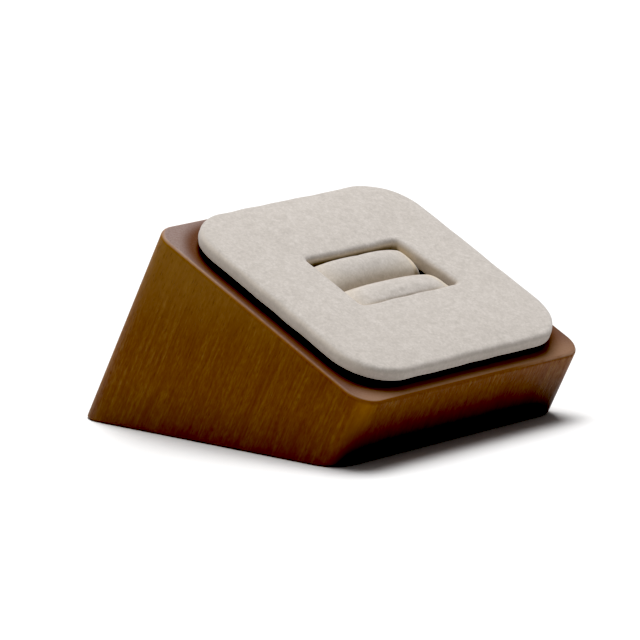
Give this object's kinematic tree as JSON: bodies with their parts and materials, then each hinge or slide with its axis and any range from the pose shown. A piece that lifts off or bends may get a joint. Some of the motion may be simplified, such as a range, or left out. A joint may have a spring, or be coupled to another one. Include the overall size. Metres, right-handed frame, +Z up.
{
  "type": "ring display stand",
  "caption": "Wooden block that leans forward under a sloping, floating pad; two soft cushions in the pad's window hold a finger ring upright between them.",
  "frame": {"origin": "on the table, under the middle of the stand", "axes": "+X to the right, +Y to the back, where the top is high, +Z up; the low front faces -Y"},
  "size_m": [0.05, 0.0598, 0.0328],
  "materials": {
    "wood": "walnut, thin satin lacquer, grain along the lean",
    "spacer": "black stained fibreboard",
    "board": "raw fibreboard",
    "microfibre": "short-napped microfibre suede, warm off-white",
    "foam": "soft foam strip"
  },
  "bodies": {
    "root": {"wood_block": "wood", "riser_board": "spacer", "pad_board": "board", "pad_cover": "microfibre", "roll_back_core": "foam", "roll_back_cover": "microfibre", "roll_front_core": "foam", "roll_front_cover": "microfibre"}
  },
  "joints": []
}
